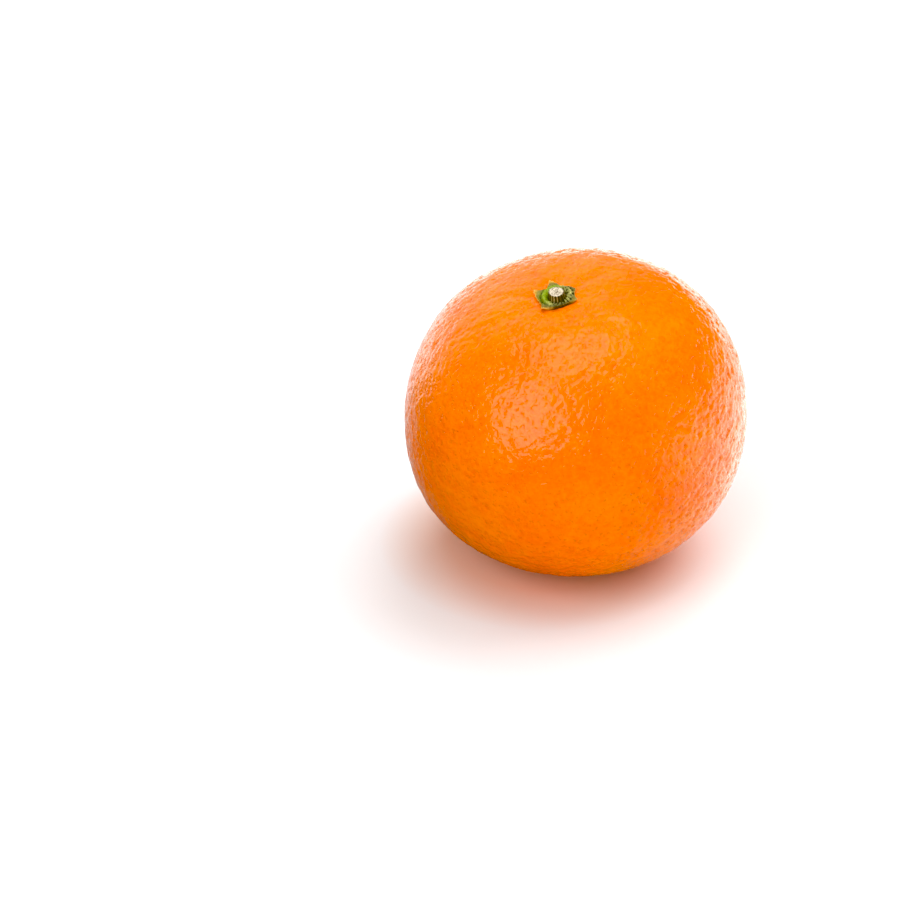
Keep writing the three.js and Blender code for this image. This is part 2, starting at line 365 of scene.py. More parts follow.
# The photograph's view: its oranges hold no blue, so the level that counts as black is raised there
LENS = 100
SENSOR = 36
CLIP_START = 10 * MM
CAMERA_ELEVATION = 30 * DEGREE
CAMERA_DISTANCE = 482.7 * MM
CAMERA_AIM_BESIDE = -23.95 * MM
CAMERA_AIM_BELOW = 7.54 * MM
BLACK_LEVELS = (0, 0, 0.025)


def unit(vectors):
    """Vectors scaled to length one."""
    return vectors / np.linalg.norm(vectors, axis=-1, keepdims=True)


def ease(values, low, high):
    """0 below low, 1 above high, and between them three times the square less twice the cube."""
    share = np.clip((values - low) / (high - low), 0, 1)
    return share * share * (3 - 2 * share)


def bell(values, middle, spread):
    """A bell curve: e to the minus square of the distance from the middle over the spread."""
    return np.exp(-(((values - middle) / spread) ** 2))


def mix(first, second, share):
    """The value that lies at a share of the way from the first to the second."""
    return first + (second - first) * share


def raised(wave):
    """A wave from -1 to 1, moved to run from 0 to 1."""
    return 0.5 + 0.5 * wave


def waves(bearing, table):
    """The sum of a table's sine waves round the stem: height times sine of count times bearing
    plus phase."""
    return sum(wave.height * np.sin(wave.count * bearing + wave.phase) for wave in table)


def wandering(bearing, wave):
    """A sine wave round the stem whose phase is the sum of other waves, with more waves added."""
    turn = wave.count * bearing + waves(bearing, wave.wander)
    return wave.height * np.sin(turn) + waves(bearing, wave.added)


UP = np.array((0.0, 0.0, 1.0))
STEM_AXIS = np.array((
    math.sin(STEM_LEAN) * math.cos(STEM_HEADING),
    math.sin(STEM_LEAN) * math.sin(STEM_HEADING),
    math.cos(STEM_LEAN),
))
STEM_TURN = np.array(Vector(UP).rotation_difference(Vector(STEM_AXIS)).to_matrix())
FRUIT_MIDDLE = UP * (BOTTOM_HALF - FLAT_SPOT_HEIGHT)


def superellipsoid(directions, axis, half, fullness):
    """Distances to a superellipsoid round an axis.

    The share of the waist radius and the share of the half height, each raised to the fullness,
    add up to one on its surface.
    """
    along = np.abs(directions @ axis)
    across = np.sqrt(np.maximum(0, 1 - along**2))
    return ((across / WAIST_RADIUS) ** fullness + (along / half) ** fullness) ** (-1 / fullness)


def stem_place(directions):
    """Each direction's distance from the stem end along the peel, and its bearing round the stem."""
    local = directions @ STEM_TURN
    distance = WAIST_RADIUS * np.arccos(np.clip(local[:, 2], -1, 1))
    return distance, np.arctan2(local[:, 1], local[:, 0])


def stem_relief(directions):
    """The shallow well at the stem end, and the faint furrows that run out from it.

    The well is a bell curve of the distance. The furrows are the square of a raised cosine of the
    bearing, times a bell curve of the distance.
    """
    distance, bearing = stem_place(directions)
    well = WELL_DEPTH * bell(distance, 0, WELL_RADIUS)
    wave = np.cos(FURROW_COUNT * bearing + waves(bearing, FURROW_WANDER))
    furrows = FURROW_DEPTH * bell(distance, FURROW_MIDDLE, FURROW_SPREAD) * raised(wave) ** 2
    return -well - furrows


def peel_radius(directions):
    """Distances from the fruit's middle to its peel, without the fine relief.

    An upright superellipsoid below passes into a leaning one above. A slight oval, a few slow sine
    waves and the relief round the stem are added.
    """
    top = superellipsoid(directions, STEM_AXIS, TOP_HALF, TOP_FULLNESS)
    bottom = superellipsoid(directions, UP, BOTTOM_HALF, BOTTOM_FULLNESS)
    height = directions[:, 2]
    radius = mix(bottom, top, ease(height, -HALVES_BLEND, HALVES_BLEND))
    heading = np.arctan2(directions[:, 1], directions[:, 0]) - OVAL_HEADING
    radius = radius * (1 + OVALNESS * np.cos(2 * heading) * (1 - height**2))
    for swelling in SWELLINGS:
        along_way = directions @ np.array(swelling.way)
        radius = radius + swelling.height * np.sin(along_way + swelling.phase)
    return radius + stem_relief(directions)


STEM_PEEL_RADIUS = peel_radius(STEM_AXIS[None])[0]


def on_stem(local):
    """Points given from the peel at the stem's middle, with +Z out along the stem, in the frame."""
    return FRUIT_MIDDLE + (local + UP * STEM_PEEL_RADIUS) @ STEM_TURN.T


def peel_height(across, along):
    """The peel's height beside the stem over the peel at its middle, found by going round
    between the height and the radius in its direction."""
    height = np.full(across.shape, STEM_PEEL_RADIUS)
    for _ in range(PEEL_SEARCH_STEPS):
        local = unit(np.stack([across, along, height], -1).reshape(-1, 3))
        radius = peel_radius(local @ STEM_TURN.T).reshape(across.shape)
        height = np.sqrt(radius**2 - across**2 - along**2)
    return height - STEM_PEEL_RADIUS


def cube_sphere(cells):
    """The directions and quads of a cube's six square grids, drawn out to a sphere.

    The grid lines of a face lie at equal angles, so each is the tangent of an angle from minus 45
    to 45 degrees. Points that two faces share become one.
    """
    steps = np.tan(np.linspace(-math.pi / 4, math.pi / 4, cells + 1))
    first, second = np.meshgrid(steps, steps, indexing="ij")
    one = np.ones_like(first)
    faces = [
        (one, first, second), (-one, second, first),
        (second, one, first), (first, -one, second),
        (first, second, one), (second, first, -one),
    ]
    points = unit(np.stack([np.stack(face, -1) for face in faces]).reshape(-1, 3))
    keys = np.round(points * SAME_POINT_DIGITS).astype(np.int64)
    _, kept, index = np.unique(keys, axis=0, return_index=True, return_inverse=True)
    index = index.reshape(len(faces), cells + 1, cells + 1)
    quads = np.stack([
        index[:, :-1, :-1], index[:, 1:, :-1], index[:, 1:, 1:], index[:, :-1, 1:],
    ], -1)
    return points[kept], quads.reshape(-1, 4)


def spread_directions(count, jitter, random):
    """Directions that turn by the golden angle while they sink evenly from pole to pole, each
    moved at random by about a share of their spacing."""
    golden_angle = math.pi * (3 - math.sqrt(5))
    index = np.arange(count) + 0.5
    height = 1 - 2 * index / count
    level = np.sqrt(1 - height**2)
    turn = golden_angle * index
    directions = np.stack([level * np.cos(turn), level * np.sin(turn), height], -1)
    spacing = math.sqrt(4 * math.pi / count)
    return unit(directions + jitter * spacing * random.normal(size=directions.shape))


def dimple_depth(directions, centres, radii, depths):
    """The depth of many small dimples over a sphere of directions.

    A dimple's depth falls off as the square of one less the square of the distance over its
    radius. The directions are taken in bands of height, each with the dimples that reach it.
    """
    total = np.zeros(len(directions))
    reach = 2 * radii.max() / WAIST_RADIUS
    edges = np.linspace(-1, 1, GLAND_BANDS + 1)
    for low, high in zip(edges[:-1], edges[1:]):
        here = np.flatnonzero((directions[:, 2] >= low) & (directions[:, 2] <= high))
        near = np.flatnonzero((centres[:, 2] > low - reach) & (centres[:, 2] < high + reach))
        chord = 2 - 2 * directions[here] @ centres[near].T
        share = np.clip(1 - chord * (WAIST_RADIUS / radii[near]) ** 2, 0, 1)
        total[here] = (share**2) @ depths[near]
    return total


def ripples(directions, wavelength, random):
    """A random ripple of one wavelength: the sum of many sine waves that cross the fruit in
    random ways, scaled so that it mostly stays between -1 and 1."""
    ways = unit(random.normal(size=(RIPPLE_WAVES, 3))) * (2 * math.pi * WAIST_RADIUS / wavelength)
    phases = random.uniform(0, 2 * math.pi, RIPPLE_WAVES)
    return np.sin(directions @ ways.T + phases).sum(1) / math.sqrt(2 * RIPPLE_WAVES)


def surface(name, points, faces, marks):
    """A smooth mesh object from points and faces, with a named number on each point for each mark."""
    mesh = bpy.data.meshes.new(name)
    mesh.from_pydata(points.tolist(), [], [face for group in faces for face in group.tolist()])
    mesh.shade_smooth()
    for mark, values in marks.items():
        kind = "FLOAT" if values.ndim == 1 else "FLOAT_VECTOR"
        field = "value" if values.ndim == 1 else "vector"
        layer = mesh.attributes.new(mark, kind, "POINT")
        layer.data.foreach_set(field, values.astype(np.float32).ravel())
    piece = bpy.data.objects.new(name, mesh)
    bpy.context.scene.collection.objects.link(piece)
    return piece


def ringed_shell(rings):
    """The faces of a closed surface through rings of points, whose ends run into one point each.

    The points are the first end, the rings in turn, and the last end.
    """
    count, around = rings.shape[:2]
    here = 1 + np.arange(count * around).reshape(count, around)
    beside = np.roll(here, -1, axis=1)
    quads = np.stack([here[:-1], here[1:], beside[1:], beside[:-1]], -1).reshape(-1, 4)
    first = np.zeros(around, int)
    last = np.full(around, count * around + 1)
    fans = np.stack([
        np.stack([first, here[0], beside[0]], -1),
        np.stack([last, beside[-1], here[-1]], -1),
    ]).reshape(-1, 3)
    return quads, fans


def with_ends(values, first, last):
    """The values of all rings in one row, with those of the two end points put on."""
    flat = values.reshape(-1, *values.shape[2:])
    return np.concatenate([np.array(first)[None], flat, np.array(last)[None]])


def peel_piece():
    """The peel: the fruit's form with its oil glands, ripples, wrinkles and blossom scar, cut flat
    where it rests.

    The glands are deeper on the coarse side. The shoulder and the scar are bell curves of the
    distance from their middles, and the wrinkles a raised sine wave of the bearing round the stem.
    """
    random = np.random.default_rng(SEED)
    directions, quads = cube_sphere(PEEL_CELLS)
    glands = spread_directions(GLAND_COUNT, GLAND_JITTER, random)
    gland_radii = random.uniform(*GLAND_RADIUS, GLAND_COUNT)
    gland_depths = random.uniform(*GLAND_DEPTH, GLAND_COUNT)
    coarse = ease(directions @ np.array(COARSE_WAY), *COARSE_SPAN)
    dimples = dimple_depth(directions, glands, gland_radii, gland_depths) * (1 + COARSE_GAIN * coarse)
    from_shoulder = np.linalg.norm(directions - np.array(SHOULDER_WAY), axis=1)
    radius = peel_radius(directions) + PEEL_LIFT - dimples
    radius = radius + SHOULDER_RISE * bell(from_shoulder, 0, SHOULDER_SPREAD)
    for ripple in RIPPLES:
        radius = radius + ripple.height * (ripples(directions, ripple.wavelength, random) - 1)
    distance, bearing = stem_place(directions)
    wrinkle_depth = WRINKLE_DEPTH * bell(distance, WRINKLE_MIDDLE, WRINKLE_SPREAD)
    wrinkle = wrinkle_depth * raised(wandering(bearing, WRINKLES))
    from_blossom = WAIST_RADIUS * np.linalg.norm(directions + UP, axis=1)
    scar = bell(from_blossom, 0, SCAR_RADIUS)
    radius = radius - wrinkle - SCAR_DEPTH * scar
    points = FRUIT_MIDDLE + directions * radius[:, None]
    points[:, 2] = np.maximum(points[:, 2], 0)
    marks = {"gland": dimples / GLAND_DEPTH[1], "coarse": coarse, "scar": scar}
    return surface("mandarin_peel", points, [quads], marks)


def front_share(bearing):
    """How much a bearing faces the narrow side at the front: a power of a raised cosine."""
    return raised(np.cos(bearing - NARROW_SIDE)) ** NARROW_POWER


def calyx_reach(bearing):
    """How far the calyx reaches on each bearing: the notch radius, or a lobe that narrows to its tip
    by a power of the share that is left of its width."""
    reach = np.full(bearing.shape, NOTCH_RADIUS)
    for lobe in LOBES:
        offset = (bearing - lobe.tip + math.pi) % (2 * math.pi) - math.pi
        width = np.where(offset < 0, lobe.before, lobe.after)
        share = np.maximum(0, 1 - np.abs(offset) / width)
        reach = np.maximum(reach, NOTCH_RADIUS + (lobe.length - NOTCH_RADIUS) * share**LOBE_TAPER)
    return reach * (1 - NARROW_SHARE * front_share(bearing))


def lump_wave(place, beside, wave):
    """A sine wave of the place, whose phase wanders by a sine wave of the place beside."""
    wander = wave.wander * np.sin(beside / wave.wander_size + wave.phase)
    return np.sin(place / wave.size + wander)


def torn_lumps(across, along, bearing, distance):
    """The torn side's lumps, from -1 to 1: the product of a wave in each way across it, mixed with
    shreds that wind outwards, a sine wave of the bearing and the distance."""
    lumps = lump_wave(across, along, LUMPS_ACROSS) * lump_wave(along, across, LUMPS_ALONG)
    shreds = np.sin(SHRED_COUNT * bearing + distance / SHRED_SIZE)
    return mix(lumps, shreds, SHRED_SHARE)


def calyx_piece():
    """The calyx: a floor under the stub, a collar round it, a groove and five thin pointed lobes.

    Rings run from the middle out over the top and back underneath. Inside the collar they are round
    but for the narrow side, and past it they pass into the outline. The height over the peel is a
    row of eased steps from floor to crest to groove to lobe. Folds are sine waves of the bearing,
    and the torn side has lumps.
    """
    bearing = np.linspace(0, 2 * math.pi, CALYX_AROUND, endpoint=False)
    out = np.linspace(0, 2, CALYX_TOP_RINGS + 1)[1:]
    back = np.linspace(2, 0, CALYX_UNDER_RINGS + 1)[:-1]
    step, bearing = np.broadcast_arrays(np.concatenate([out, back])[:, None], bearing[None])
    is_top = np.arange(len(step))[:, None] < CALYX_TOP_RINGS

    # Where the points lie, seen along the stem
    front = front_share(bearing)
    narrow = 1 - NARROW_SHARE * front
    collar_edge = COLLAR_RADIUS * narrow
    outline = calyx_reach(bearing) * (1 + wandering(bearing, RAGGED_EDGE))
    outward = np.maximum(step - 1, 0)
    distance = np.minimum(step, 1) * collar_edge + outward * (outline - collar_edge)
    across = distance * np.cos(bearing)
    along = distance * np.sin(bearing)
    share = distance / narrow

    # How high they lie over the peel
    folds = wandering(bearing, COLLAR_FOLDS)
    torn = ease(np.cos(bearing - TORN_SIDE), *TORN_SPAN)
    crest = CREST_HEIGHT * mix(1, FRONT_CREST_SHARE, front) * mix(1, TORN_CREST_SHARE, torn)
    crest = crest * (1 + FOLD_HEIGHT_SHARE * folds)
    collar = mix(FLOOR_HEIGHT, crest, ease(share, COLLAR_FOOT, COLLAR_CREST))
    collar = mix(collar, GROOVE_HEIGHT, ease(share, COLLAR_BRINK, COLLAR_RADIUS))
    lobe = mix(LOBE_HEIGHT, TIP_HEIGHT, outward) + waves(bearing, LOBE_WAVES) * outward
    top = mix(collar, lobe, ease(share, COLLAR_RADIUS, LOBE_START))
    lumps = torn_lumps(across, along, bearing, distance)
    lump_height = LUMP_HEIGHT * mix(LUMPS_ELSEWHERE, 1, torn) * ease(share, COLLAR_FOOT, COLLAR_FULL)
    top = top + lump_height * lumps * (1 - outward)
    under = mix(-CALYX_SUNK, TIP_HEIGHT - EDGE_THICKNESS, ease(share, COLLAR_RADIUS, UNDERSIDE_END))
    round_edge = np.sqrt(np.maximum(0, 1 - outward**EDGE_FULLNESS))
    top = mix(under + EDGE_REST, top, mix(EDGE_SHARE, 1, round_edge))
    height = peel_height(across, along) + np.where(is_top, top, under)

    # The marks that the finish reads
    # Painted shade: a mask that darkens the moat, the groove, more under folds, and the torn hollows
    moat = bell(share, COLLAR_FOOT, MOAT_SPREAD)
    groove_darkness = GROOVE_DARKNESS + GROOVE_FOLD_DARKNESS * folds
    groove = bell(share, COLLAR_RADIUS, GROOVE_SPREAD) * groove_darkness
    hollow = torn * np.clip(-HOLLOW_GAIN * lumps - HOLLOW_START, 0, 1) * (1 - outward)
    rings = np.stack([across, along, height], -1)
    floor = np.array((0, 0, FLOOR_HEIGHT))
    base = np.array((0, 0, -CALYX_SUNK))
    marks = {
        "lobe": with_ends(ease(share, COLLAR_RADIUS, LOBE_COLOR_START), 0, 0),
        "tip": with_ends(outward * ease(distance, COLLAR_RADIUS, TIP_START), 0, 0),
        "edge": with_ends(ease(outward, *EDGE_COLOR_SPAN), 0, 0),
        "torn": with_ends(torn, 0, 0),
        "front": with_ends(front, 0, 0),
        "crevice_shade": with_ends(np.clip(moat + groove + hollow, 0, 1), 1, 0),
        "bearing": with_ends(rings / MM, floor / MM, base / MM),
    }
    return surface("calyx_star", on_stem(with_ends(rings, floor, base)), ringed_shell(rings), marks)


def stub_piece():
    """The stem stub: rings from the middle of the cut face out over its rim and down the ribbed side.

    The profile is a polyline of radius and height, sampled evenly, and the radius of the side is
    scaled by uneven ribs that fade out towards the middle of the cut. The upper part tilts, and the
    cut face is roughened by the product of a sine wave round it and one across it.
    """
    profile = np.array(STUB_PROFILE)
    corners = np.arange(len(profile))
    steps = np.linspace(0, corners[-1], STUB_RINGS_A_SECTION * corners[-1] + 1)
    radius = np.interp(steps, corners, profile[:, 0])[:, None]
    height = np.interp(steps, corners, profile[:, 1])[:, None]
    bearing = np.linspace(0, 2 * math.pi, STUB_AROUND, endpoint=False)[None]
    wave = raised(np.cos(STUB_RIBS * bearing + waves(bearing, RIB_WANDER)))
    rib = wave**RIB_ROUNDNESS * (RIB_LEVEL + waves(bearing, RIB_UNEVENNESS)) + waves(bearing, RIB_THREADS)
    side = ease(radius, RIB_INNER_RADIUS, STUB_CUT_RADIUS) * ease(height, *RIB_START_HEIGHTS)
    radius = radius + RIB_DEPTH * side * (rib - RIB_LEVEL)
    tilt = CUT_TILT_RIGHT * np.cos(bearing) + CUT_TILT_BACK * np.sin(bearing)
    height = height + radius * tilt * ease(height, CUT_TILT_START, STUB_CUT_HEIGHT)
    rough = waves(bearing, CUT_ROUGHNESS) * np.sin(radius / CUT_ROUGHNESS_SIZE)
    on_cut = ease(np.arange(len(steps))[:, None], *CUT_LAST_RINGS)
    height = height + rough * on_cut
    rings = np.stack([
        radius * np.cos(bearing) + STUB_BESIDE, radius * np.sin(bearing), height,
    ], -1)
    top = np.array((STUB_BESIDE, 0, STUB_CUT_HEIGHT - CUT_HOLLOW))
    base = np.array((STUB_BESIDE, 0, STUB_FOOT_HEIGHT))
    marks = {
        "cut": with_ends(on_cut * (1 - ease(radius, *CUT_EDGE)), 1, 0),
        "rib": with_ends(np.broadcast_to(rib, radius.shape), 0, 0),
        "bearing": with_ends(rings / MM, top / MM, base / MM),
    }
    return surface("stem_stalk", on_stem(with_ends(rings, top, base)), ringed_shell(rings), marks)


def add_node(tree, kind, inputs=None, **settings):
    """A node with its settings. Each input is given by its name or number, and takes a plain value
    or another node's output."""
    made = tree.nodes.new(kind)
    for name, value in settings.items():
        setattr(made, name, value)
    for name, value in (inputs or {}).items():
        if isinstance(value, bpy.types.NodeSocket):
            tree.links.new(value, made.inputs[name])
        else:
            made.inputs[name].default_value = value
    return made


def mixed_color(tree, share, first, second):
    """A colour between two, each of which is a colour or another node's output."""
    inputs = {MIX_SHARE: share, **dict(zip(MIX_COLORS, (first, second)))}
    return add_node(tree, "ShaderNodeMix", inputs, data_type="RGBA").outputs[MIX_COLOR_RESULT]


def mixed_number(tree, share, first, second):
    """A number between two, each of which is a number or another node's output."""
    inputs = {MIX_SHARE: share, **dict(zip(MIX_NUMBERS, (first, second)))}
    return add_node(tree, "ShaderNodeMix", inputs).outputs[MIX_NUMBER_RESULT]


def math_node(tree, operation, *values):
    """The result of an operation on one or two values, each a number or a node's output."""
    return add_node(tree, "ShaderNodeMath", dict(enumerate(values)), operation=operation).outputs[0]


def product(tree, first, second):
    """One value times another."""
    return math_node(tree, "MULTIPLY", first, second)


def total(tree, first, second):
    """One value plus another."""
    return math_node(tree, "ADD", first, second)


def ranged(tree, value, low, high, to_low=0.0, to_high=1.0):
    """A value's place between low and high, moved to between two others and kept there."""
    inputs = {"Value": value, "From Min": low, "From Max": high, "To Min": to_low, "To Max": to_high}
    return add_node(tree, "ShaderNodeMapRange", inputs).outputs["Result"]


def between(tree, share, ends):
    """The value at a share of the way from the first end to the second."""
    return ranged(tree, share, 0.0, 1.0, *ends)


def tinted(tree, color, mask, tint):
    """A colour drawn towards a tint's, as its mask goes from the tint's start to where it is full."""
    share = ranged(tree, mask, tint.start, tint.full, 0.0, tint.strength)
    return mixed_color(tree, share, color, tint.color)


def split(tree, vector):
    """A vector's X, Y and Z."""
    return add_node(tree, "ShaderNodeSeparateXYZ", {"Vector": vector}).outputs


def vector_node(tree, operation, inputs, output="Vector"):
    """The result of an operation on vectors."""
    return add_node(tree, "ShaderNodeVectorMath", inputs, operation=operation).outputs[output]


def noise(tree, place, values, output="Fac"):
    """A noise texture's value at a place."""
    return add_node(tree, "ShaderNodeTexNoise", {"Vector": place, **values}).outputs[output]


def new_group(name, inputs, outputs):
    """An empty shader node group with named inputs and outputs, the outputs of its start node and
    the inputs of its end node."""
    group = bpy.data.node_groups.new(name, "ShaderNodeTree")
    for socket, kind in inputs:
        group.interface.new_socket(socket, in_out="INPUT", socket_type=kind)
    for socket, kind in outputs:
        group.interface.new_socket(socket, in_out="OUTPUT", socket_type=kind)
    start = group.nodes.new("NodeGroupInput")
    end = group.nodes.new("NodeGroupOutput")
    return group, start.outputs, end.inputs


def mottling_group():
    """Cloudy mottling: two sizes of noise, blended and stretched to run from 0 to 1."""
    group, given, made = new_group(
        "mottling",
        [("Place", "NodeSocketVector"), ("Scale", "NodeSocketFloat"), ("Fine Share", "NodeSocketFloat")],
        [("Value", "NodeSocketFloat")],
    )
    fine_scale = product(group, given["Scale"], FINE_CLOUDS_SCALE)
    broad = noise(group, given["Place"], {"Scale": given["Scale"], **BROAD_NOISE})
    fine = noise(group, given["Place"], {"Scale": fine_scale, **FINE_NOISE})
    blend = mixed_number(group, given["Fine Share"], broad, fine)
    group.links.new(ranged(group, blend, *CLOUDS_SPAN), made["Value"])
    return group


def pits_group():
    """Small pits of uneven size and outline, as one bump over the surface.

    The place is warped by a noise, and each cell of a random pattern has a round pit at its middle
    that is as deep as the surface passes near to it. A finer grain is added.
    """
    group, given, made = new_group(
        "pits",
        [
            ("Place", "NodeSocketVector"), ("Normal", "NodeSocketVector"), ("Scale", "NodeSocketFloat"),
            ("Reach", "NodeSocketFloat"), ("Warp", "NodeSocketFloat"), ("Depth", "NodeSocketFloat"),
            ("Grain Share", "NodeSocketFloat"),
        ],
        [("Normal", "NodeSocketVector"), ("Pit", "NodeSocketFloat")],
    )
    scaled = vector_node(group, "SCALE", {0: given["Place"], "Scale": given["Scale"]})
    cloud = noise(group, scaled, WARP_NOISE, "Color")
    centred = vector_node(group, "SUBTRACT", {0: cloud, 1: (NOISE_MIDDLE,) * 3})
    pushed = vector_node(group, "SCALE", {0: centred, "Scale": given["Warp"]})
    warped = vector_node(group, "ADD", {0: scaled, 1: pushed})
    cells = add_node(
        group, "ShaderNodeTexVoronoi", {"Vector": warped, "Scale": 1.0, "Randomness": 1.0},
    )
    pit = add_node(
        group, "ShaderNodeMapRange",
        {
            "Value": cells.outputs["Distance"], "From Min": 0.0, "From Max": given["Reach"],
            "To Min": 1.0, "To Max": 0.0,
        },
        interpolation_type="SMOOTHSTEP",
    ).outputs["Result"]
    grain = product(group, noise(group, scaled, GRAIN_NOISE), given["Grain Share"])
    bump = add_node(
        group, "ShaderNodeBump",
        {
            "Strength": 1.0, "Height": math_node(group, "SUBTRACT", grain, pit),
            "Distance": given["Depth"], "Normal": given["Normal"],
        },
    )
    group.links.new(bump.outputs["Normal"], made["Normal"])
    group.links.new(pit, made["Pit"])
    return group


MOTTLING = mottling_group()
PITS = pits_group()


def mottling(tree, place, clouds):
    """The mottling group, placed in a material with its own values."""
    inputs = {"Place": place, "Scale": clouds.scale, "Fine Share": clouds.fine_share}
    return add_node(tree, "ShaderNodeGroup", node_tree=MOTTLING, inputs=inputs).outputs["Value"]


def pits(tree, place, pitting, depth, under=None):
    """The pits group, placed in a material with its own values, over another normal if one is given."""
    made = add_node(tree, "ShaderNodeGroup", node_tree=PITS, inputs={
        "Place": place,
        "Normal": under or add_node(tree, "ShaderNodeNewGeometry").outputs["Normal"],
        "Scale": pitting.scale,
        "Reach": pitting.reach,
        "Warp": pitting.warp,
        "Depth": depth,
        "Grain Share": pitting.grain,
    })
    return made.outputs["Normal"], made.outputs["Pit"]


def new_material(name):
    """A material with an empty node tree but for its Principled shader and output."""
    material = bpy.data.materials.new(name)
    material.use_nodes = True
    tree = material.node_tree
    return material, tree, tree.nodes["Principled BSDF"]


def finish(tree, shader, color, roughness, normal):
    """Links what changes over a surface to its shader."""
    tree.links.new(color, shader.inputs["Base Color"])
    tree.links.new(roughness, shader.inputs["Roughness"])
    tree.links.new(normal, shader.inputs["Normal"])


def mark(tree, name, output="Fac"):
    """A mark that a piece carries on its points."""
    return add_node(tree, "ShaderNodeAttribute", attribute_name=name).outputs[output]


def peel_material():
    """Waxy orange peel: saturated orange with lighter clouds, darker glands and a few brown specks.

    Its bumps are small pores, over them wandering creases, and over them a grain that is stronger on
    the coarse side.
    """
    material, tree, shader = new_material("waxy_peel")
    place = add_node(tree, "ShaderNodeTexCoord").outputs["Object"]
    coarse = mark(tree, "coarse")
    normal, pore = pits(tree, place, PORES, between(tree, coarse, PORE_DEPTH))
    normal, _ = pits(tree, place, CREASES, CREASE_DEPTH, normal)
    normal, _ = pits(tree, place, GRAIN, between(tree, coarse, GRAIN_DEPTH), normal)
    color = mixed_color(tree, mottling(tree, place, PEEL_CLOUDS), *PEEL_ORANGES)
    flecks = mottling(tree, place, FLECKS)
    color = tinted(tree, color, flecks, DEEP_FLECKS)
    color = tinted(tree, color, flecks, LIGHT_FLECKS)
    color = tinted(tree, color, mottling(tree, place, PATCHES), OCHRE_PATCHES)
    color = tinted(tree, color, mark(tree, "gland"), DEEP_GLANDS)
    dark = product(tree, ranged(tree, pore, *PORE_COLOR_SPAN), between(tree, coarse, PORE_DARKNESS))
    color = mixed_color(tree, dark, color, PORE_BROWN)
    color = tinted(tree, color, mottling(tree, place, SPECKS), BROWN_SPECKS)
    color = tinted(tree, color, mark(tree, "scar"), BROWN_SCAR)
    finish(tree, shader, color, between(tree, pore, PEEL_ROUGHNESS), normal)
    shader.inputs["Subsurface Weight"].default_value = PEEL_GLOW_THROUGH
    shader.inputs["Subsurface Radius"].default_value = PEEL_GLOW_REACH
    shader.inputs["Subsurface Scale"].default_value = PEEL_GLOW_SCALE
    shader.inputs["IOR"].default_value = WAX_REFRACTION
    return material


def calyx_material():
    """The calyx: a fresh green collar, yellow-green and blotched where it is torn, lobes that turn
    pale orange at their tips, and edges that are pale behind. Painted shade dulls the collar and darkens
    the edges in front, and painted shade makes the crevices dark."""
    material, tree, shader = new_material("green_sepals")
    place = mark(tree, "bearing", "Vector")
    front = mark(tree, "front")
    normal, pit = pits(tree, place, CALYX_PITS, CALYX_PIT_DEPTH)
    clouds = mottling(tree, place, CALYX_CLOUDS)
    fresh = mixed_color(tree, clouds, *FRESH_GREENS)
    blotched = mixed_color(tree, clouds, *TORN_GREENS)
    color = mixed_color(tree, mark(tree, "torn"), fresh, blotched)
    # Painted shade on the front side
    color = tinted(tree, color, front, FRONT_PAINTED_SHADE)
    color = mixed_color(tree, mark(tree, "lobe"), color, mixed_color(tree, clouds, *LOBE_OLIVES))
    color = tinted(tree, color, mark(tree, "tip"), ORANGE_TIPS)
    # Pale edges behind, and painted shade on the edges in front
    edge_tone_and_shade = mixed_color(tree, ranged(tree, front, *EDGE_FRONT_SPAN), *EDGE_PALE_AND_FRONT_SHADE)
    color = tinted(tree, color, mark(tree, "edge"), Tint(*EDGE_SPAN, EDGE_STRENGTH, edge_tone_and_shade))
    color = tinted(tree, color, pit, DARK_PITS)
    # Painted shade: the crevices are painted dark brown
    color = mixed_color(tree, mark(tree, "crevice_shade"), color, CREVICE_PAINTED_SHADE)
    finish(tree, shader, color, between(tree, clouds, CALYX_ROUGHNESS), normal)
    return material


def stub_material():
    """The stub: dark brown ribbed bark with paler ridges and olive patches, darker towards its foot as
    painted shade, and a cream cut face with brown fibres, which run where a noise passes through its
    middle value."""
    material, tree, shader = new_material("dry_stalk")
    place = mark(tree, "bearing", "Vector")
    normal, pit = pits(tree, place, BARK_PITS, BARK_PIT_DEPTH)
    clouds = mottling(tree, place, BARK_CLOUDS)
    ridge = ranged(tree, mark(tree, "rib"), *RIDGE_SPAN)
    ridge = product(tree, ridge, ranged(tree, clouds, *RIDGE_PATCHES))
    bark = mixed_color(tree, ridge, *BARK_BROWNS)
    bark = tinted(tree, bark, clouds, OLIVE_BARK)
    # Painted shade: the bark darkens towards its foot
    bark = tinted(tree, bark, split(tree, place)["Z"], FOOT_PAINTED_SHADE)
    level = math_node(tree, "SUBTRACT", noise(tree, place, FIBRE_NOISE), NOISE_MIDDLE)
    cut = mixed_color(tree, clouds, *CUT_CREAMS)
    cut = tinted(tree, cut, math_node(tree, "ABSOLUTE", level), BROWN_FIBRES)
    color = mixed_color(tree, mark(tree, "cut"), bark, cut)
    finish(tree, shader, color, between(tree, pit, BARK_ROUGHNESS), normal)
    return material


def dress(piece, material, node):
    """Gives a piece its material, and puts it in the place of a CAD node."""
    piece.data.materials.append(material)
    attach(piece, "root")
    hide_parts(node)


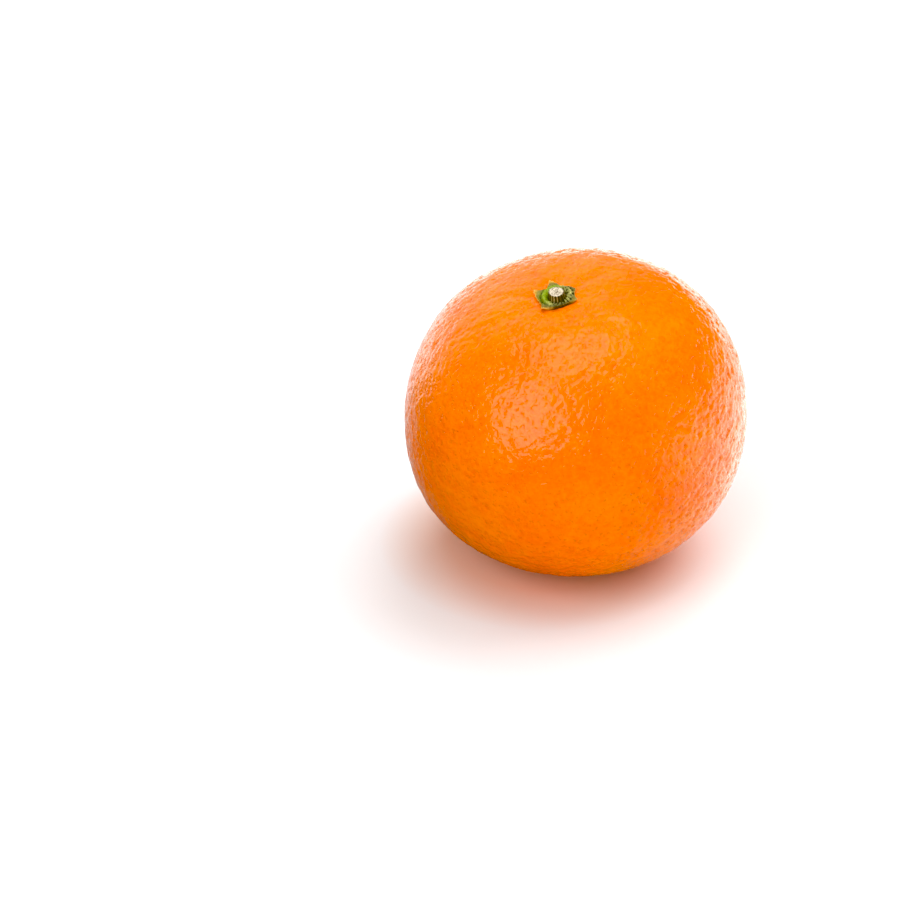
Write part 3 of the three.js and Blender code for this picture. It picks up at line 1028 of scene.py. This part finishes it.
def table_material():
    """A matte white that glows more and more with the distance from the fruit, a painted light that keeps
    the table white away from it, and is warm close to it with painted light bounced from the fruit.

    In reflections it is dark in front and on the left as painted shade, and brightest on the right as a
    painted reflection. The light that it throws on the fruit from the left is dimmer, as painted shade.
    """
    material, tree, shader = new_material("matte_white")
    place = add_node(tree, "ShaderNodeTexCoord").outputs["Object"]
    at = split(tree, place)
    path = add_node(tree, "ShaderNodeLightPath").outputs
    reflected = path["Is Glossy Ray"]

    # Painted shade: dark to reflected rays in front and on the left, and to diffuse rays on the left
    slant = total(tree, product(tree, at["X"], REFLECTED_SHADE_SLANT[0]), product(tree, at["Y"], REFLECTED_SHADE_SLANT[1]))
    reflected_shade = product(tree, reflected, ranged(tree, slant, *REFLECTED_SHADE_SPAN))
    shade = ranged(tree, at["X"], *SHADED_SPAN, 0.0, SHADED_DARKNESS)
    darkness = total(tree, reflected_shade, product(tree, path["Is Diffuse Ray"], shade))

    # Painted bounce light: the table is warm close to the fruit
    from_painted_bounce = vector_node(tree, "DISTANCE", {0: place, 1: PAINTED_BOUNCE_MIDDLE}, "Value")
    white = mixed_color(tree, ranged(tree, from_painted_bounce, *PAINTED_BOUNCE_SPAN), TABLE_PAINTED_BOUNCE, TABLE_WHITE)
    color = mixed_color(tree, darkness, white, TABLE_PAINTED_SHADE)

    # Painted light: the table glows away from the fruit, more in reflections
    away = vector_node(tree, "LENGTH", {0: place}, "Value")
    lightness = math_node(tree, "SUBTRACT", 1.0, darkness)
    glow = product(tree, ranged(tree, away, *GLOW_SPAN), lightness)
    glow = product(tree, glow, mixed_number(tree, reflected, GLOW_SEEN, GLOW_REFLECTED))
    # Painted reflection: a glow on the right that shows only in reflections
    beside = product(
        tree, ranged(tree, at["X"], *RIGHT_GLOW_START), ranged(tree, at["X"], *RIGHT_GLOW_END),
    )
    level = product(
        tree, ranged(tree, at["Y"], *RIGHT_GLOW_FRONT), ranged(tree, at["Y"], *RIGHT_GLOW_BACK),
    )
    right = product(tree, product(tree, beside, level), product(tree, reflected, RIGHT_GLOW))

    tree.links.new(color, shader.inputs["Base Color"])
    tree.links.new(total(tree, glow, right), shader.inputs["Emission Strength"])
    shader.inputs["Emission Color"].default_value = gray(1)
    shader.inputs["Roughness"].default_value = TABLE_ROUGHNESS
    shader.inputs["Specular IOR Level"].default_value = 0.0
    return material


def white_table():
    """The white table: one large square, which is not part of the fruit."""
    half = TABLE_HALF
    corners = np.array(((-half, -half, 0), (half, -half, 0), (half, half, 0), (-half, half, 0)))
    table = surface("white_table", corners, [np.array([[0, 1, 2, 3]])], {})
    table.data.materials.append(table_material())


def soft_box(given):
    """A rectangular soft box that faces the fruit. Its power follows from the brightness of its face."""
    light = bpy.data.lights.new(given.name, "AREA")
    light.shape = "RECTANGLE"
    light.size = given.width
    light.size_y = given.height
    light.energy = math.pi * given.width * given.height * given.brightness
    box = bpy.data.objects.new(given.name, light)
    away = Vector((
        math.cos(given.elevation) * math.sin(given.heading),
        -math.cos(given.elevation) * math.cos(given.heading),
        math.sin(given.elevation),
    ))
    box.location = Vector(FRUIT_MIDDLE) + away * given.distance
    box.rotation_euler = away.to_track_quat("Z", "Y").to_euler()
    bpy.context.scene.collection.objects.link(box)
    return box


def soft_boxes():
    """The soft box that makes the lower highlight, the one overhead that makes the upper highlight,
    and a fill from behind on the right that shows in no reflection."""
    soft_box(FRONT_LEFT_BOX).rotation_euler.rotate_axis("Z", FRONT_LEFT_TURN)
    soft_box(OVERHEAD_BOX).location.x += OVERHEAD_SHIFT
    soft_box(REAR_FILL).visible_glossy = False


def studio():
    """White surroundings: pure white to the camera, softly bright to matte surfaces. In reflections
    a wall behind on the left and a low panel on the right are bright, and the rest is dim."""
    world = bpy.data.worlds.new("studio")
    bpy.context.scene.world = world
    world.use_nodes = True
    tree = world.node_tree
    way = split(tree, add_node(tree, "ShaderNodeTexCoord").outputs["Generated"])
    wall = product(
        tree, ranged(tree, way["Y"], *WALL_BACK_SPAN), ranged(tree, way["X"], *WALL_LEFT_SPAN),
    )
    panel = product(
        tree, ranged(tree, way["X"], *PANEL_RIGHT_SPAN), ranged(tree, way["Z"], *PANEL_LOW_SPAN),
    )
    panel = product(tree, panel, PANEL_BRIGHTNESS)
    mirrored = between(tree, total(tree, wall, panel), MIRRORED_LIGHT)
    matte = ranged(tree, way["X"], *MATTE_SPAN, *MATTE_LIGHT)
    path = add_node(tree, "ShaderNodeLightPath").outputs
    strength = mixed_number(tree, path["Is Glossy Ray"], matte, mirrored)
    strength = mixed_number(tree, path["Is Camera Ray"], strength, BACKDROP_LIGHT)
    background = tree.nodes["Background"]
    background.inputs["Color"].default_value = gray(1)
    tree.links.new(strength, background.inputs["Strength"])


def photo_camera():
    """The camera at the photograph's viewing angle, with the fruit right of the middle as there."""
    data = bpy.data.cameras.new("camera")
    data.lens = LENS
    data.sensor_width = SENSOR
    data.clip_start = CLIP_START
    camera = bpy.data.objects.new("camera", data)
    back = Vector((0, -math.cos(CAMERA_ELEVATION), math.sin(CAMERA_ELEVATION)))
    aim = Vector(FRUIT_MIDDLE) + Vector((CAMERA_AIM_BESIDE, 0, -CAMERA_AIM_BELOW))
    camera.location = aim + back * CAMERA_DISTANCE
    camera.rotation_euler = back.to_track_quat("Z", "Y").to_euler()
    bpy.context.scene.collection.objects.link(camera)
    bpy.context.scene.camera = camera


def develop():
    """How the picture is shown: plainly, with the photograph's black levels."""
    view = bpy.context.scene.view_settings
    view.view_transform = "Standard"
    view.use_curve_mapping = True
    view.curve_mapping.black_level = BLACK_LEVELS
    view.curve_mapping.update()


photo_camera()
dress(peel_piece(), peel_material(), "fruit")
dress(calyx_piece(), calyx_material(), "calyx")
dress(stub_piece(), stub_material(), "stem_stub")
white_table()
studio()
soft_boxes()
develop()
